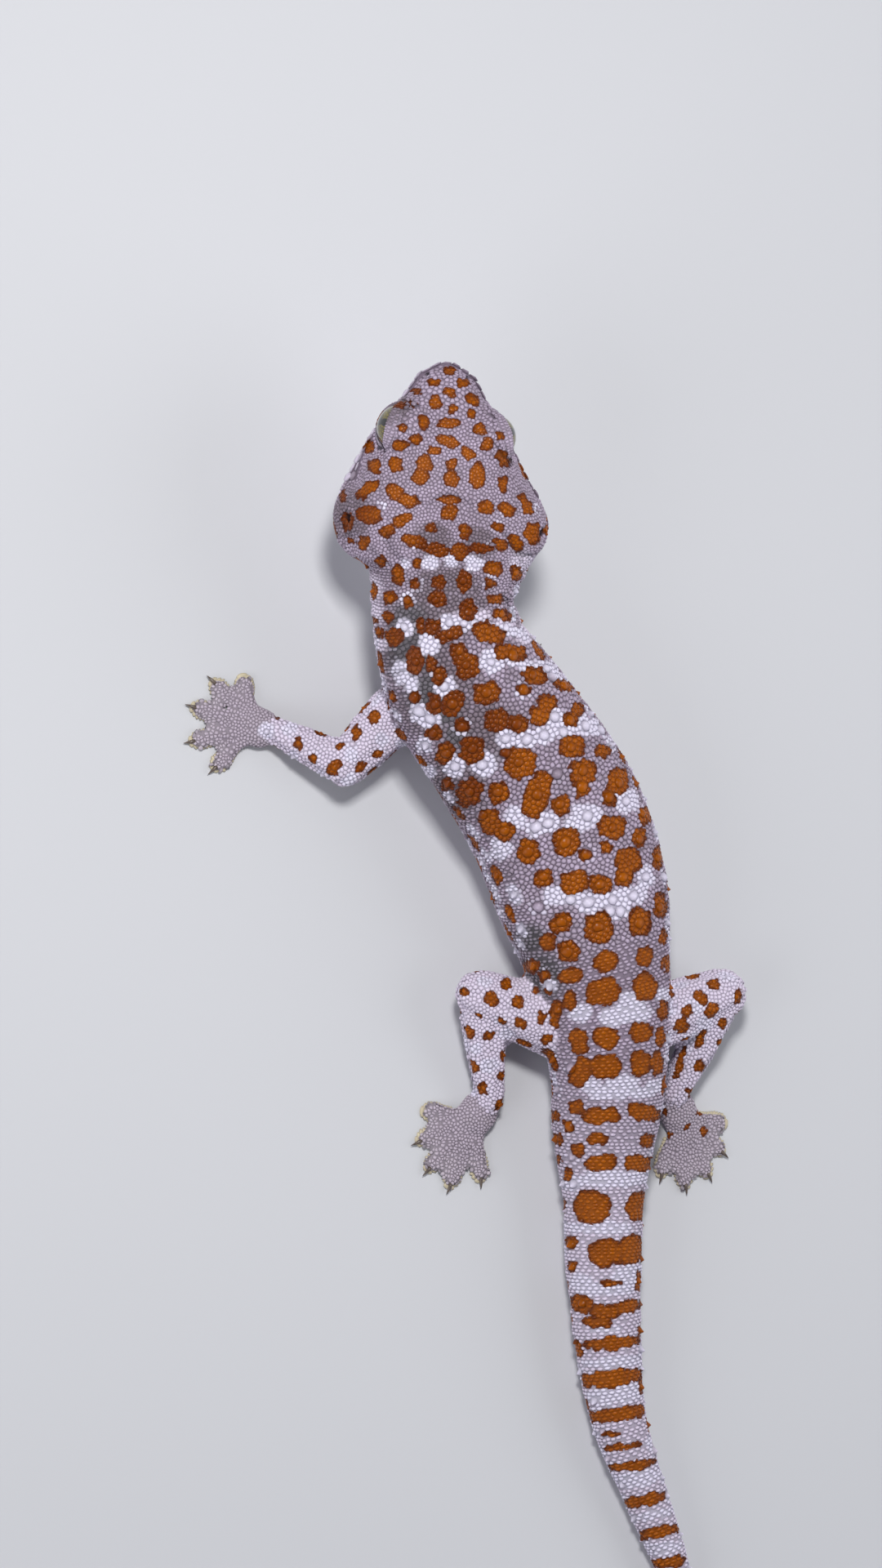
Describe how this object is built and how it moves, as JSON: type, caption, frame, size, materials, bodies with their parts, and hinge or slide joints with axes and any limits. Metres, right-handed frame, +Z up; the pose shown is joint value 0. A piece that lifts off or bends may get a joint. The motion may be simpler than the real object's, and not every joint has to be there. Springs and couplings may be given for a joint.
{
  "type": "tokay gecko",
  "caption": "Life-size still model of a tokay gecko resting on its belly with its head raised, body curved, legs out and tail laid behind.",
  "frame": {"origin": "on the floor, under the middle of the animal's outer box", "axes": "+Y from the tail towards the head, +X to the animal's right, +Z up"},
  "size_m": [0.1138, 0.2951, 0.041],
  "materials": {
    "skin": "granular blue-grey lizard skin with orange-brown spots and pale tubercles",
    "throat": "pale throat skin with small orange spots",
    "tail": "granular skin in orange, grey and white bands",
    "toes": "pale scaled toes with yellowish pads and small dark claws",
    "eye": "wet olive-yellow eye with a dark slit pupil"
  },
  "bodies": {
    "root": {"head": "skin", "lower_jaw": "throat", "eye_left": "eye", "eye_right": "eye", "neck": "skin", "chest": "skin", "belly": "skin", "pelvis": "skin", "tail_base": "tail", "tail_middle": "tail", "tail_rear": "tail", "tail_tip": "tail", "upper_arm_left": "skin", "forearm_left": "skin", "hand_left": "toes", "upper_arm_right": "skin", "forearm_right": "skin", "hand_right": "toes", "thigh_left": "skin", "shank_left": "skin", "foot_left": "toes", "thigh_right": "skin", "shank_right": "skin", "foot_right": "toes"}
  },
  "joints": []
}
